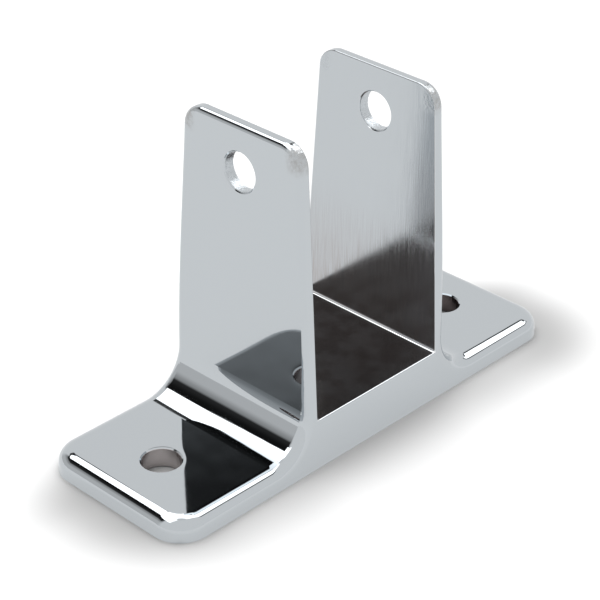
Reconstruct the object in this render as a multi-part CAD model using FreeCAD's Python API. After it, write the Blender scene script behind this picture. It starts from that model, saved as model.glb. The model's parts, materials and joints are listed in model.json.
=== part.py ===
"""Two-ear panel wall bracket, die-cast as one piece.

Two drafted ears stand on a base plate and take a panel between them.  The base has a foot with a
screw hole at each end.  X runs along the base from foot to foot, Y across it and Z up.  The origin
is the middle of the underside.  Lengths are in millimetres and angles in degrees.
"""
import FreeCAD, Part
import math
import os

from FreeCAD import Vector

# Slot for the panel
panel_gap = 31.75            # clear width between the ears, for a 1-1/4 inch panel
floor_height = 9.75          # underside to the floor of the slot
floor_corner_radius = 0.5    # cast radius where the floor meets an ear
slot_edge_radius = 0.25      # broken edge all round the slot

# Base
base_length = 99.8
base_width = 34.9            # at the underside
foot_height = 4.15
foot_corner_radius = 5.9     # corners of the base seen from above
foot_edge_radius = 2.6       # round along the top edges of a foot
end_draft = 3.5              # lean of the two end faces

# Ears
ear_height = 62.0            # underside to the top of the ears
ear_top_width = 27.3         # width across Y at the top
ear_root_thickness = 2.6     # at the floor of the slot
ear_tip_thickness = 2.4
ear_corner_radius = 4.2      # top corners of an ear
ear_root_edge_radius = 1.6   # round along the outer edges of an ear, at its foot
ear_tip_edge_radius = 1.1    # the same round at its top
root_radius = 8.0            # hollow curve from a foot up to its ear

# Holes
screw_spacing = 75.5         # between the two holes in the base
screw_hole_diameter = 7.2
bolt_hole_diameter = 7.3     # through both ears
bolt_below_top = 8.65        # top of the ears down to the axis through them
hole_chamfer = 0.25          # broken edge at both mouths of each hole

# Hollow cored out of the thick middle, from below
core_roof = 3.2              # metal between the hollow and the slot
core_wall = 3.2              # metal beside the hollow
core_corner_radius = 3.0
core_roof_bevel = 1.0
core_draft = 3.0

# Worked out from the sizes above
half_gap = panel_gap / 2
half_length = base_length / 2
bolt_height = ear_height - bolt_below_top
ear_lean = (ear_root_thickness - ear_tip_thickness) / (ear_height - floor_height)
side_lean = (base_width - ear_top_width) / 2 / ear_height


def half_width(z):
    """Half the width across Y at height z, before any rounding."""
    return base_width / 2 - z * side_lean


def ear_outside(z):
    """Distance from the middle plane to the outer face of an ear, at height z."""
    return half_gap + ear_root_thickness - (z - floor_height) * ear_lean


def root_arc():
    """The hollow arc beside the +X ear, as its foot end, middle, ear end and centre in X and Z."""
    lean = math.atan(ear_lean)
    centre_z = foot_height + root_radius
    ear_end_z = centre_z + root_radius * math.sin(lean)
    ear_end = (ear_outside(ear_end_z), ear_end_z)
    centre = (ear_end[0] + root_radius * math.cos(lean), centre_z)
    foot_end = (centre[0], foot_height)
    turn = (1.5 * math.pi + math.pi - lean) / 2
    middle = (centre[0] + root_radius * math.cos(turn), centre_z + root_radius * math.sin(turn))
    return foot_end, middle, ear_end, centre


def upright(points):
    return [Vector(x, 0, z) for x, z in points]


def half_outline():
    """Edges of the +X half as seen along Y, from the rim of the underside to the floor corner."""
    foot_end, middle, ear_end, _ = root_arc()
    bend = floor_corner_radius * (1 - math.sqrt(0.5))
    end_top = half_length - foot_height * math.tan(math.radians(end_draft))
    foot = upright([(half_length, 0), (end_top, foot_height), foot_end])
    ear = upright([ear_end, (ear_outside(ear_height), ear_height), (half_gap, ear_height),
                   (half_gap, floor_height + floor_corner_radius)])
    corner = upright([(half_gap - bend, floor_height + bend),
                      (half_gap - floor_corner_radius, floor_height)])
    edges = [Part.makeLine(a, b) for a, b in zip(foot, foot[1:])]
    edges.append(Part.Arc(foot[-1], upright([middle])[0], ear[0]).toShape())
    edges += [Part.makeLine(a, b) for a, b in zip(ear, ear[1:])]
    edges.append(Part.Arc(ear[-1], corner[0], corner[1]).toShape())
    return edges


def drafted_body():
    """The outline seen along Y at full width, with both long sides leaning in towards the top."""
    half = half_outline()
    other = [edge.mirror(Vector(0, 0, 0), Vector(1, 0, 0)) for edge in half]
    floor_end = half_gap - floor_corner_radius
    floor = Part.makeLine(Vector(-floor_end, 0, floor_height), Vector(floor_end, 0, floor_height))
    underside = Part.makeLine(Vector(-half_length, 0, 0), Vector(half_length, 0, 0))
    outline = Part.Wire(Part.__sortEdges__(half + other + [floor, underside]))
    slab = Part.Face(outline).extrude(Vector(0, base_width, 0))
    slab.translate(Vector(0, -base_width / 2, 0))
    corners = [(-1, 0), (1, 0), (1, ear_height), (-1, ear_height), (-1, 0)]
    end = Part.makePolygon([Vector(-half_length, side * half_width(z), z) for side, z in corners])
    return slab.common(Part.Face(end).extrude(Vector(base_length, 0, 0)))


def near(value, target):
    return abs(value - target) < 0.01


def round_corners(shape):
    """Round the corners of the base seen from above, then the top corners of the ears."""
    def at_base_corner(edge):
        centre = edge.CenterOfMass
        beyond_hollow = abs(centre.x) > root_arc()[0][0] + 0.01
        return edge.BoundBox.ZLength > foot_height / 2 and beyond_hollow
    def at_ear_corner(edge):
        return near(edge.BoundBox.ZMin, ear_height) and edge.BoundBox.YLength < 0.01
    shape = shape.makeFillet(foot_corner_radius, [e for e in shape.Edges if at_base_corner(e)])
    return shape.makeFillet(ear_corner_radius, [e for e in shape.Edges if at_ear_corner(e)])


def middle_normal(face):
    u0, u1, v0, v1 = face.ParameterRange
    return face.normalAt((u0 + u1) / 2, (v0 + v1) / 2)


def is_outside_of_end(face):
    """Whether a face is a foot's top, a hollow curve or an ear's outer face."""
    centre = face.CenterOfMass
    normal = middle_normal(face)
    if near(centre.z, foot_height):
        return normal.z > 0.99
    outward = normal.x * math.copysign(1, centre.x)
    return outward > 0.5 and centre.z > foot_height and abs(centre.x) < root_arc()[0][0]


def is_inside_of_slot(face):
    """Whether a face is a wall, a corner or the floor of the slot."""
    centre = face.CenterOfMass
    in_gap = abs(centre.x) < half_gap + 0.01 and abs(middle_normal(face).y) < 0.5
    return in_gap and centre.z > floor_height - 0.01


def rim_of(shape, belongs):
    """Edges between the faces that belong and all the others."""
    found = {}
    for face in shape.Faces:
        if belongs(face):
            for edge in face.Edges:
                found.setdefault(edge.hashCode(), []).append(edge)
    return [edges[0] for edges in found.values() if len(edges) == 1]


def edge_radii(edge, rising):
    """Radii at the start and end of an outer edge, where the loop that it is in runs up or down."""
    middle_z = edge.CenterOfMass.z
    hollow_top = root_arc()[2][1]
    if near(middle_z, foot_height):
        return foot_edge_radius, foot_edge_radius
    if near(edge.BoundBox.ZMax, ear_height):
        return ear_tip_edge_radius, ear_tip_edge_radius
    if middle_z > hollow_top:
        radii = ear_root_edge_radius, ear_tip_edge_radius
    else:
        radii = foot_edge_radius, ear_root_edge_radius
    return radii if rising else radii[::-1]


def round_outer_edges(shape):
    """Round the rim of each end's outside as one loop, the radius easing off from foot to tip."""
    rim = {edge.hashCode() for edge in rim_of(shape, is_outside_of_end)}
    loops = [(number, edge) for number, edge in enumerate(shape.Edges, 1) if edge.hashCode() in rim]
    # Each loop starts with its end edge, which runs towards +Y, so it rises on the +Y side.
    loops.sort(key=lambda item: -abs(item[1].CenterOfMass.x))
    document = FreeCAD.newDocument("bracket")
    body = document.addObject("Part::Feature", "Body")
    body.Shape = shape
    rounded = document.addObject("Part::Fillet", "OuterEdges")
    rounded.Base = body
    rounded.Edges = [(number, *edge_radii(edge, edge.CenterOfMass.y > 0)) for number, edge in loops]
    document.recompute()
    result = rounded.Shape.copy()
    FreeCAD.closeDocument(document.Name)
    return result


def drill(shape):
    """Cut the two screw holes in the base and the bolt hole through both ears."""
    bolt_length = 2 * ear_outside(floor_height) + 2
    bolt = Part.makeCylinder(bolt_hole_diameter / 2, bolt_length,
                             Vector(-bolt_length / 2, 0, bolt_height), Vector(1, 0, 0))
    screws = [Part.makeCylinder(screw_hole_diameter / 2, foot_height + 2, Vector(x, 0, -1))
              for x in (-screw_spacing / 2, screw_spacing / 2)]
    return shape.cut(Part.makeCompound([bolt, *screws]))


def chamfer_holes(shape):
    """Break the edge at both mouths of every hole."""
    def is_mouth(edge):
        width = edge.BoundBox.YLength
        return edge.isClosed() and (near(width, screw_hole_diameter) or near(width, bolt_hole_diameter))
    return shape.makeChamfer(hole_chamfer, [e for e in shape.Edges if is_mouth(e)])


def rounded_rectangle(half_x, half_y, radius, z):
    """Closed wire of a rectangle with round corners, at height z."""
    corners = [Vector(x, y, z) for x, y in
               ((-half_x, -half_y), (half_x, -half_y), (half_x, half_y), (-half_x, half_y))]
    face = Part.Face(Part.makePolygon(corners + corners[:1]))
    block = face.extrude(Vector(0, 0, 1))
    upright_edges = [e for e in block.Edges if near(e.BoundBox.ZLength, 1)]
    block = block.makeFillet(radius, upright_edges)
    bottom = min(block.Faces, key=lambda f: f.CenterOfMass.z)
    return bottom.OuterWire


def core():
    """The hollow under the slot, narrowing upwards, its ends following the hollow curves."""
    roof_z = floor_height - core_roof
    centre = root_arc()[3]
    reach = math.sqrt((root_radius + core_wall) ** 2 - (centre[1] - roof_z) ** 2)
    spread = roof_z * math.tan(math.radians(core_draft))
    roof_x = centre[0] - reach
    roof_y = half_width(roof_z) - core_wall
    mouth = rounded_rectangle(roof_x + spread, roof_y + spread, core_corner_radius, 0)
    roof = rounded_rectangle(roof_x, roof_y, core_corner_radius, roof_z)
    hollow = Part.makeLoft([mouth, roof], True, True)
    roof_edges = [e for e in hollow.Edges if near(e.BoundBox.ZMin, roof_z)]
    return hollow.makeChamfer(core_roof_bevel, roof_edges)


def bracket():
    shape = round_outer_edges(round_corners(drafted_body()))
    shape = shape.makeFillet(slot_edge_radius, rim_of(shape, is_inside_of_slot))
    return chamfer_holes(drill(shape)).cut(core())


os.makedirs("parts", exist_ok=True)
bracket().exportStep("parts/bracket.step")
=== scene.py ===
"""Chrome-plated wall bracket with two upright ears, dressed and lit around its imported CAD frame."""

import json
from math import radians
from types import SimpleNamespace

import bpy
from mathutils import Matrix, Vector


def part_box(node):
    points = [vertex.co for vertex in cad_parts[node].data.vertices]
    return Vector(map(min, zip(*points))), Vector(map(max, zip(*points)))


MM = 0.001

# Sizes of the bracket that its frame doesn't hold
PANEL_GAP = 31.75 * MM        # clear width between the ears
EAR_TOP_WIDTH = 27.3 * MM     # width across Y at the top


class Graph:
    """Short names for building one node tree."""

    def __init__(self, tree):
        self.tree = tree
        tree.nodes.clear()

    def node(self, kind, **settings):
        made = self.tree.nodes.new(kind)
        for name, value in settings.items():
            setattr(made, name, value)
        return made

    def feed(self, socket, value):
        if isinstance(value, bpy.types.NodeSocket):
            self.tree.links.new(value, socket)
        else:
            socket.default_value = value

    def output(self, kind, shader):
        """Joins the shader to the tree's output."""
        self.feed(self.node(kind).inputs["Surface"], shader.outputs[0])

    def math(self, operation, *values):
        made = self.node("ShaderNodeMath", operation=operation)
        for socket, value in zip(made.inputs, values):
            self.feed(socket, value)
        return made.outputs[0]

    def times(self, result, *others):
        for other in others:
            result = self.math("MULTIPLY", result, other)
        return result

    def plus(self, result, *others):
        for other in others:
            result = self.math("ADD", result, other)
        return result

    def opposite(self, mask):
        """0 where the mask is 1 and 1 where it is 0."""
        return self.math("SUBTRACT", 1.0, mask)

    def length(self, first, second):
        """The length of the flat vector with these two parts."""
        return self.math("SQRT", self.plus(self.times(first, first), self.times(second, second)))

    def parts(self, vector):
        made = self.node("ShaderNodeSeparateXYZ")
        self.feed(made.inputs[0], vector)
        return made.outputs[0], made.outputs[1], made.outputs[2]

    def step(self, value, start, end, low=0.0, high=1.0):
        """Eases from low at start to high at end."""
        made = self.node("ShaderNodeMapRange", interpolation_type="SMOOTHSTEP")
        for socket, given in zip(made.inputs, (value, start, end, low, high)):
            self.feed(socket, given)
        return made.outputs[0]

    def stairs(self, value, base, steps):
        """The base, and each step's gain eased in between that step's start and end."""
        return self.plus(base, *(self.step(value, start, end, 0.0, gain) for start, end, gain in steps))

    def mix(self, factor, low, high):
        """low where the factor is 0 and high where it is 1."""
        made = self.node("ShaderNodeMix")
        self.feed(made.inputs[0], factor)
        self.feed(made.inputs[2], low)
        self.feed(made.inputs[3], high)
        return made.outputs[0]

    def tint(self, factor, base, colour):
        """The base colour where the factor is 0 and the other colour where it is 1."""
        made = self.node("ShaderNodeMix", data_type="RGBA")
        self.feed(made.inputs[0], factor)
        self.feed(made.inputs[6], base)
        self.feed(made.inputs[7], (*colour, 1.0))
        return made.outputs[2]


def placed(name, data):
    """A new object in the scene."""
    made = bpy.data.objects.new(name, data)
    bpy.context.scene.collection.objects.link(made)
    return made


def new_material(name):
    """A new material, and the graph of its empty node tree."""
    material = bpy.data.materials.new(name)
    material.use_nodes = True
    return material, Graph(material.node_tree)


# ---------------------------------------------------------------- camera

def camera(target, distance, azimuth, elevation, roll, lens):
    """A camera that looks at the target. Azimuth runs from -Y towards +X, and angles are in degrees."""
    data = bpy.data.cameras.new("camera")
    data.lens = lens
    data.clip_start = 10 * MM
    rotation = (
        Matrix.Rotation(radians(azimuth), 4, "Z")
        @ Matrix.Rotation(radians(90 - elevation), 4, "X")
        @ Matrix.Rotation(radians(roll), 4, "Z")
    )
    made = placed("camera", data)
    made.matrix_world = Matrix.Translation(target) @ rotation @ Matrix.Translation((0, 0, distance))
    bpy.context.scene.camera = made


# ---------------------------------------------------------------- studio
# A white room with an overhead softbox in a black frame, and a dark gap under the softbox's left end.
# Azimuth runs from +Y towards +X and elevation up from the horizon, both in degrees. A pair is the
# outer and the inner end of a soft edge.

ROOM_LIGHT = 0.97             # white walls
CEILING_LIGHT = 0.9           # straight above
CEILING_EDGE = (78.0, 84.0)

BOX_LIGHT = 2.8               # the softbox
BOX_LEFT = (-95.0, -80.0)
BOX_RIGHT = (124.0, 120.0)
BOX_EDGE = 51.0               # elevation of its lower edge at the left
BOX_EDGE_STEPS = (            # how that edge goes on to the right: start, end and gain
    (-18.0, -10.0, -8.5),
    (50.0, 70.0, 3.0),
    (95.0, 102.0, -9.0),
)
BOX_BLUR = (-0.5, 0.5)        # softness of the lower edge

FRAME_LIGHT = 0.06            # its black frame, a line below that edge
FRAME_LINE = (-4.2, -3.4)
FRAME_LEFT = (-14.0, -10.0)
FRAME_RIGHT = (130.0, 127.0)
FRAME_TOP = (60.0, 50.0)      # where it ends, beside the softbox's right end

GAP_LIGHT = 0.01              # the dark gap at its top
GAP_STEPS = (                 # and how it brightens downwards: start, end and gain
    (47.0, 37.0, 0.02),
    (36.5, 31.0, 0.35),
    (33.0, 17.0, 0.33),
)
GAP_LEFT = (-70.0, -58.0)
GAP_RIGHT = (4.0, -8.0)
GAP_BOTTOM = (-20.0, 5.0)

FILL_SHARE = 0.85             # how much of the room's light reaches the floor
GLINT_SHARE = 0.3             # and how much of it by way of the metal


def key_lamp(azimuth, elevation, spread, strength):
    """The lamp in the softbox, which casts the object's soft shadow and isn't seen in the metal."""
    data = bpy.data.lights.new("key", "SUN")
    data.energy = strength
    data.angle = radians(spread)
    made = placed("key", data)
    turn = Matrix.Rotation(radians(-azimuth), 4, "Z")
    made.matrix_world = turn @ Matrix.Rotation(radians(elevation - 90), 4, "X")
    made.visible_glossy = False


def room(graph):
    """How bright the studio is in each direction."""
    across, depth, height = graph.parts(graph.node("ShaderNodeTexCoord").outputs["Generated"])
    azimuth = graph.math("DEGREES", graph.math("ARCTAN2", across, depth))
    elevation = graph.math("DEGREES", graph.math("ARCSINE", height))

    above = graph.math("SUBTRACT", elevation, graph.stairs(azimuth, BOX_EDGE, BOX_EDGE_STEPS))
    box = graph.times(
        graph.step(above, *BOX_BLUR),
        graph.step(azimuth, *BOX_LEFT),
        graph.step(azimuth, *BOX_RIGHT),
    )
    frame_line = graph.times(
        graph.step(above, *FRAME_LINE),
        graph.step(azimuth, *FRAME_LEFT),
        graph.step(azimuth, *FRAME_RIGHT),
        graph.step(elevation, *FRAME_TOP),
    )
    gap = graph.times(graph.step(azimuth, *GAP_LEFT), graph.step(azimuth, *GAP_RIGHT))
    dim = graph.stairs(elevation, GAP_LIGHT, GAP_STEPS)
    dim = graph.mix(graph.step(elevation, *GAP_BOTTOM), ROOM_LIGHT, dim)

    light = graph.mix(frame_line, ROOM_LIGHT, FRAME_LIGHT)
    light = graph.mix(gap, light, dim)
    light = graph.mix(box, light, BOX_LIGHT)
    return graph.mix(graph.step(elevation, *CEILING_EDGE), light, CEILING_LIGHT)


def studio():
    """The world: the room for metal and for the floor's light, and plain white behind the object."""
    world = bpy.data.worlds.new("studio")
    bpy.context.scene.world = world
    world.use_nodes = True
    graph = Graph(world.node_tree)
    path = graph.node("ShaderNodeLightPath").outputs
    after_floor = graph.math("MINIMUM", path["Diffuse Depth"], 1.0)
    share = graph.mix(path["Is Diffuse Ray"], 1.0, FILL_SHARE)
    share = graph.mix(graph.times(path["Is Glossy Ray"], after_floor), share, GLINT_SHARE)
    light = graph.times(room(graph), share)
    background = graph.node("ShaderNodeBackground")
    background.inputs["Color"].default_value = (1.0, 1.0, 1.0, 1.0)
    graph.feed(background.inputs["Strength"], graph.mix(path["Is Camera Ray"], light, 1.0))
    graph.output("ShaderNodeOutputWorld", background)


# ---------------------------------------------------------------- floor

FLOOR_SIZE = 3.0
PAPER = 0.85                  # how pale the floor is
FOOTPRINT_EDGE = 3 * MM       # softness of the dark footprint that metal sees under the base
MIRRORED_WHITE = 0.8          # how white the rest of the floor is in metal

HALO_TONE = 0.66              # the painted shadow's tone right beside the base, against the open floor
HALO_END_TONE = 0.52          # the same at the base's two ends
HALO_END = 20 * MM            # how far in from the ends that change of tone begins
HALO_REACH = 15.5 * MM        # how far the painted shadow takes to fade out
HALO_CORNER = 10 * MM         # its corner radius: it is measured from that far inside the base's outline
HALO_BACK = 18 * MM           # the same distance behind, where it is drawn in under the base
HALO_BACK_FADE = 1.5          # how much faster it fades behind
HALO_END_FADE = 0.94          # and past the ends, where it is slower
HALO_SKEW = 0.08              # how far it turns: to the front at +X and to the back at -X


def painted_shadow(graph, x, y, low, high):
    """The soft shadow painted close round the base, as the share of the floor's tone that it takes."""
    along = graph.math("ABSOLUTE", x)
    turned = graph.plus(y, graph.times(x, HALO_SKEW))
    past_end = graph.math("MAXIMUM", graph.math("SUBTRACT", along, high.x - HALO_CORNER), 0.0)
    before = graph.math("SUBTRACT", low.y + HALO_CORNER, turned)
    behind = graph.times(graph.math("SUBTRACT", turned, high.y - HALO_BACK), HALO_BACK_FADE)
    past_side = graph.math("MAXIMUM", graph.math("MAXIMUM", before, behind), 0.0)
    away = graph.length(graph.times(past_end, HALO_END_FADE), past_side)
    depth = graph.step(along, high.x - HALO_END, high.x, 1 - HALO_TONE, 1 - HALO_END_TONE)
    return graph.times(depth, graph.step(away, HALO_CORNER + HALO_REACH, HALO_CORNER))


def white_in_metal(graph, x, y, high):
    """How far the floor is plain white: only as metal or glass sees it, and not under the base."""
    past_end = graph.step(graph.math("ABSOLUTE", x), high.x - FOOTPRINT_EDGE, high.x)
    past_side = graph.step(graph.math("ABSOLUTE", y), high.y - FOOTPRINT_EDGE, high.y)
    open_floor = graph.math("MAXIMUM", past_end, past_side)
    path = graph.node("ShaderNodeLightPath").outputs
    mirrored = graph.math("MAXIMUM", path["Is Glossy Ray"], path["Is Transmission Ray"])
    before_floor = graph.opposite(graph.math("MINIMUM", path["Diffuse Depth"], 1.0))
    return graph.times(mirrored, open_floor, MIRRORED_WHITE, before_floor)


def floor(low, high):
    """A pale floor that keeps the object's cast shadow, with a soft shadow painted close round the base.
    """
    mesh = bpy.data.meshes.new("floor")
    reach = FLOOR_SIZE / 2
    corners = [(x * reach, y * reach, low.z) for x, y in ((-1, -1), (1, -1), (1, 1), (-1, 1))]
    mesh.from_pydata(corners, [], [(0, 1, 2, 3)])
    made = placed("floor", mesh)

    material, graph = new_material("pale_floor")
    x, y, _ = graph.parts(graph.node("ShaderNodeTexCoord").outputs["Object"])
    paper = graph.node("ShaderNodeBsdfDiffuse")
    # The paper's tone, with the painted soft shadow round the base taken off
    graph.feed(paper.inputs["Color"], graph.times(graph.opposite(painted_shadow(graph, x, y, low, high)), PAPER))
    white = graph.node("ShaderNodeEmission")
    white.inputs["Strength"].default_value = 1.0
    surface = graph.node("ShaderNodeMixShader")
    graph.feed(surface.inputs[0], white_in_metal(graph, x, y, high))
    graph.feed(surface.inputs[1], paper.outputs[0])
    graph.feed(surface.inputs[2], white.outputs[0])
    graph.output("ShaderNodeOutputMaterial", surface)
    mesh.materials.append(material)


# ---------------------------------------------------------------- finish
# A zone is a mask that is 1 where a finish is. A pair is where the zone's edge is 0 and where it is 1.

SKIN = (-0.06 * MM, -0.02 * MM)         # takes in a surface that lies right at the zone's border
SLOT_SIDE = (0.25 * MM, 0.35 * MM)      # the slot's satin, in from the polished edges
SLOT_ROOT = (0.5 * MM, 0.7 * MM)        # and out from the corner of wall and floor
SLOT_DEPTH = (28 * MM, 2 * MM)          # height over the slot's floor, as the plating gets thinner and the painted shade deepens
SLOT_FLOOR = (0.6 * MM, 0.3 * MM)       # height over it that still counts as the floor
SCREW_SKIN = (-0.05 * MM, -0.02 * MM)   # the same as SKIN for the screw holes
BOLT_SKIN = (-0.12 * MM, -0.02 * MM)    # and for the bolt hole
BELOW_MOUTH = 0.3 * MM                  # the screw holes' raw walls start this far down
BOLT_BLUR = 1 * MM                      # softness of the bolt hole's zone towards the slot
CORNER_DOWN = (5.5 * MM, 3 * MM)        # the ears' dull corners, down from the top
CORNER_ASIDE = (3.5 * MM, 1.5 * MM)     # and in from the sides

CHROME = (0.515, 0.545, 0.568)          # outside
DEEP_PLATING_AND_SHADE = (0.37, 0.32, 0.305)       # low in the slot: browner where the plating is thin, and darker as painted shade
SLOT_FLOOR_PLATING_AND_SHADE = (0.145, 0.125, 0.118)    # on the slot's floor: thin plating, and much darker as painted shade
EDGE_HIGHLIGHT_CHROME = (0.85, 0.86, 0.87)        # painted highlight: brighter than chrome on the slot's polished edges
DULL_CHROME = (0.41, 0.415, 0.415)      # the ears' top corners
RAW_METAL = (0.58, 0.54, 0.535)         # the screw holes' walls
FAR_HOLE_SHADE = (0.12, 0.095, 0.095)        # painted shade: the same walls, near black, in the hole at +X
FAR_SHARE = 0.9                         # how far its colour goes that way
STREAKS = (0.15, 0.6)                   # least and most of the deep tone, by the grain
MOTTLE = (0.8, 1.0)                     # the same of the floor's tone
SPECKLE = (0.35, 0.9)                   # and of the corners' tone

# Roughness, at its smoothest and at its roughest
MIRROR = (0.02, 0.05)                   # outside
SATIN = (0.11, 0.19)                    # in the slot
CORNER_SKIN = (0.15, 0.4)
BOLT_WALL_SKIN = (0.2, 0.45)
SCREW_WALL_SKIN = (0.1, 0.2)

# Relief, in millimetres
WAVES = 0.026                           # faint waves from polishing
DIP = -0.035                            # the foot beside a screw hole
DIP_REACH = 0.5 * MM                    # how soon that dip fades out, in metres
SCRATCHES = 0.004                       # the slot's upright grain
BOLT_RELIEF = 0.05                      # cast skin in the bolt hole
CORNER_RELIEF = 0.06                    # and on the ears' top corners

# Scale of each pattern, per millimetre, and how much detail it has
WAVE_SCALE, WAVE_DETAIL = 0.11, 1.0
SHEEN_SCALE = 0.12                      # patches of duller polish
MOTTLE_SCALE, MOTTLE_DETAIL = 0.25, 3.0
GRAIN_SCALE, GRAIN_DETAIL = 1.0, 3.0
GRAIN_STRETCH = (6, 6, 0.15)            # drawn out upright
CORNER_SCALE = 1.5
CAST_SCALE = 2.5                        # cast skin in the holes
PLAIN_DETAIL = 2.0

# Ranges of a noise's value: where most of it lies, and the middle of that
USUAL = (0.3, 0.7)
MIDDLE = (0.35, 0.65)


def hole_depth(graph, first, second, radius):
    """How far inside a round hole's wall a point lies, across the hole's axis."""
    return graph.math("SUBTRACT", radius, graph.length(first, second))


def slot_zones(graph, x, z, to_side, slot_floor):
    """The slot, and in it the satin, the edges that get a painted highlight, and the deep part and the
    floor, which get thin plating's tone and painted shade.
    """
    aside = graph.math("SUBTRACT", PANEL_GAP / 2, graph.math("ABSOLUTE", x))
    up = graph.math("SUBTRACT", z, slot_floor)
    slot = graph.times(graph.step(aside, *SKIN), graph.step(up, *SKIN))
    from_root = graph.step(graph.math("MAXIMUM", aside, up), *SLOT_ROOT)
    satin = graph.times(slot, graph.step(to_side, *SLOT_SIDE), from_root)
    return SimpleNamespace(
        whole=slot,
        satin=satin,
        edge_highlight=graph.times(slot, graph.opposite(satin)),
        deep=graph.times(satin, graph.step(up, *SLOT_DEPTH)),
        floor=graph.times(satin, graph.step(up, *SLOT_FLOOR)),
    )


def hole_zones(graph, x, y, z, screw, bolt):
    """The walls of the screw holes and of the bolt hole, and how deep in a screw hole a point is."""
    along = graph.math("ABSOLUTE", x)
    half_spacing = screw["dims"]["spacing_x_mm"] * MM / 2
    offset = graph.math("SUBTRACT", along, half_spacing)
    screw_depth = hole_depth(graph, offset, y, screw["dims"]["hole_r_mm"] * MM)
    foot_top = screw["pos_m"][2]
    below = graph.step(z, foot_top, foot_top - BELOW_MOUTH)
    screw_wall = graph.times(graph.step(screw_depth, *SCREW_SKIN), below)
    lift = graph.math("SUBTRACT", z, bolt["pos_m"][2])
    bolt_depth = hole_depth(graph, y, lift, bolt["dims"]["r_mm"] * MM)
    in_ear = graph.step(along, PANEL_GAP / 2 - BOLT_BLUR, PANEL_GAP / 2)
    return SimpleNamespace(
        screw_depth=screw_depth,
        screw=screw_wall,
        # The wall of the screw hole at +X, which gets painted shade
        far_screw_shade=graph.times(screw_wall, graph.step(x, 0.0, half_spacing, 0.0, FAR_SHARE)),
        bolt=graph.times(graph.step(bolt_depth, *BOLT_SKIN), in_ear),
    )


def corner_zone(graph, z, to_side, top):
    """The ears' top corners."""
    down = graph.step(z, *(top - edge for edge in CORNER_DOWN))
    return graph.times(down, graph.step(to_side, *CORNER_ASIDE))


def noise(graph, place, scale, detail=PLAIN_DETAIL, stretch=(1, 1, 1)):
    """Noise with a scale per millimetre. A stretch above 1 makes it finer along that axis."""
    scaled = graph.node("ShaderNodeVectorMath", operation="MULTIPLY")
    graph.feed(scaled.inputs[0], place)
    graph.feed(scaled.inputs[1], tuple(s / MM for s in stretch))
    made = graph.node("ShaderNodeTexNoise")
    graph.feed(made.inputs["Vector"], scaled.outputs[0])
    made.inputs["Scale"].default_value = scale
    made.inputs["Detail"].default_value = detail
    return made.outputs["Fac"]


def plating_colour(graph, place, grain, slot, hole, corner):
    """Cool chrome, browner where the plating is thin low in the slot and darker there as painted shade;
    a painted highlight on the slot's edges, and painted shade in the screw hole at +X.
    """
    streaks = graph.step(grain, *USUAL, *STREAKS)
    mottle = graph.step(noise(graph, place, MOTTLE_SCALE, MOTTLE_DETAIL), *MIDDLE, *MOTTLE)
    speckle = graph.step(noise(graph, place, CORNER_SCALE), *MIDDLE, *SPECKLE)
    dull = graph.times(corner, graph.opposite(slot.whole), speckle)
    colour = (*CHROME, 1.0)
    # Tints over the chrome: thin plating with painted shade in the slot, a painted highlight on its
    # edges, dull corners, raw hole walls and painted shade in the hole at +X
    for factor, other in (
        (graph.times(slot.deep, streaks), DEEP_PLATING_AND_SHADE),
        (graph.times(slot.floor, mottle), SLOT_FLOOR_PLATING_AND_SHADE),
        (slot.edge_highlight, EDGE_HIGHLIGHT_CHROME),
        (dull, DULL_CHROME),
        (hole.screw, RAW_METAL),
        (hole.far_screw_shade, FAR_HOLE_SHADE),
    ):
        colour = graph.tint(factor, colour, other)
    return colour


def plating_roughness(graph, place, grain, slot, hole, corner):
    """A mirror outside, satin in the slot, and rougher on cast skin."""
    def patchy(scale, limits):
        return graph.step(noise(graph, place, scale), *USUAL, *limits)

    rough = patchy(SHEEN_SCALE, MIRROR)
    rough = graph.mix(slot.satin, rough, graph.step(grain, *USUAL, *SATIN))
    rough = graph.mix(corner, rough, patchy(CORNER_SCALE, CORNER_SKIN))
    rough = graph.mix(hole.bolt, rough, patchy(CAST_SCALE, BOLT_WALL_SKIN))
    return graph.mix(hole.screw, rough, patchy(CAST_SCALE, SCREW_WALL_SKIN))


def plating_relief(graph, place, grain, slot, hole, corner):
    """Polishing waves, dips round the screw holes, the slot's grain and cast skin."""
    outside = graph.math("MAXIMUM", graph.math("SUBTRACT", 0.0, hole.screw_depth), 0.0)
    near_hole = graph.math("EXPONENT", graph.math("DIVIDE", outside, -DIP_REACH))
    height = graph.plus(
        graph.times(noise(graph, place, WAVE_SCALE, WAVE_DETAIL), WAVES),
        graph.times(near_hole, DIP),
        graph.times(grain, slot.satin, SCRATCHES),
        graph.times(noise(graph, place, CAST_SCALE), hole.bolt, BOLT_RELIEF),
        graph.times(noise(graph, place, CORNER_SCALE), corner, CORNER_RELIEF),
    )
    bump = graph.node("ShaderNodeBump")
    bump.inputs["Strength"].default_value = 1.0
    bump.inputs["Distance"].default_value = MM
    graph.feed(bump.inputs["Height"], height)
    return bump.outputs[0]


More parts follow.
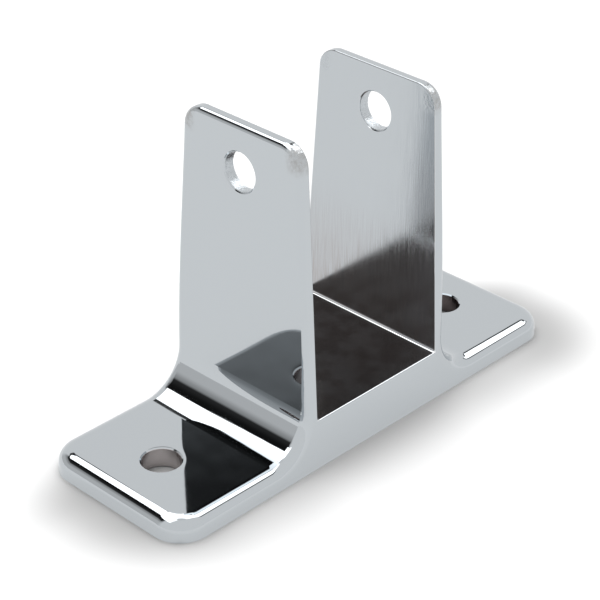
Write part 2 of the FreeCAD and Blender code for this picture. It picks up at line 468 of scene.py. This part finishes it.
def chrome(high, screw, bolt, slot_floor):
    """Polished chrome outside, a satin upright grain inside the slot and raw walls in the holes."""
    material, graph = new_material("chrome_plate")
    place = graph.node("ShaderNodeTexCoord").outputs["Object"]
    x, y, z = graph.parts(place)
    side_lean = (high.y - EAR_TOP_WIDTH / 2) / high.z
    side = graph.math("SUBTRACT", high.y, graph.times(z, side_lean))
    to_side = graph.math("SUBTRACT", side, graph.math("ABSOLUTE", y))
    zones = (
        slot_zones(graph, x, z, to_side, slot_floor),
        hole_zones(graph, x, y, z, screw, bolt),
        corner_zone(graph, z, to_side, high.z),
    )
    grain = noise(graph, place, GRAIN_SCALE, GRAIN_DETAIL, GRAIN_STRETCH)
    shader = graph.node("ShaderNodeBsdfPrincipled")
    shader.inputs["Metallic"].default_value = 1.0
    graph.feed(shader.inputs["Base Color"], plating_colour(graph, place, grain, *zones))
    graph.feed(shader.inputs["Roughness"], plating_roughness(graph, place, grain, *zones))
    graph.feed(shader.inputs["Normal"], plating_relief(graph, place, grain, *zones))
    graph.output("ShaderNodeOutputMaterial", shader)
    return material


# ---------------------------------------------------------------- scene

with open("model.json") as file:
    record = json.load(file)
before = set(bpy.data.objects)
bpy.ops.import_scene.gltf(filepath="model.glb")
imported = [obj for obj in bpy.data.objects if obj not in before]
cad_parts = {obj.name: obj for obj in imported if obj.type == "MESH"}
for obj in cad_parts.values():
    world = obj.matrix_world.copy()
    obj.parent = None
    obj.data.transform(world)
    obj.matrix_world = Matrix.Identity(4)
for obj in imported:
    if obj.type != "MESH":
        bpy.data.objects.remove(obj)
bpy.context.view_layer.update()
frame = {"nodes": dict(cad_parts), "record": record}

bracket = frame["nodes"]["bracket"]
mounts = {mount["name"]: mount for mount in frame["record"]["mounts"]}
low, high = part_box("bracket")

bpy.context.scene.view_settings.view_transform = "Standard"
camera(
    target=Vector((4.86, 7.43, 15.53)) * MM,
    distance=367.98 * MM,
    azimuth=-46.646,
    elevation=30.694,
    roll=0.7435,
    lens=117.68,
)
studio()
key_lamp(azimuth=35, elevation=66, spread=70, strength=0.75)
floor(low, high)
bracket.data.materials.clear()
bracket.data.materials.append(
    chrome(
        high,
        screw=mounts["wall_screws"],
        bolt=mounts["cross_bolt"],
        slot_floor=mounts["slot_floor"]["pos_m"][2],
    )
)
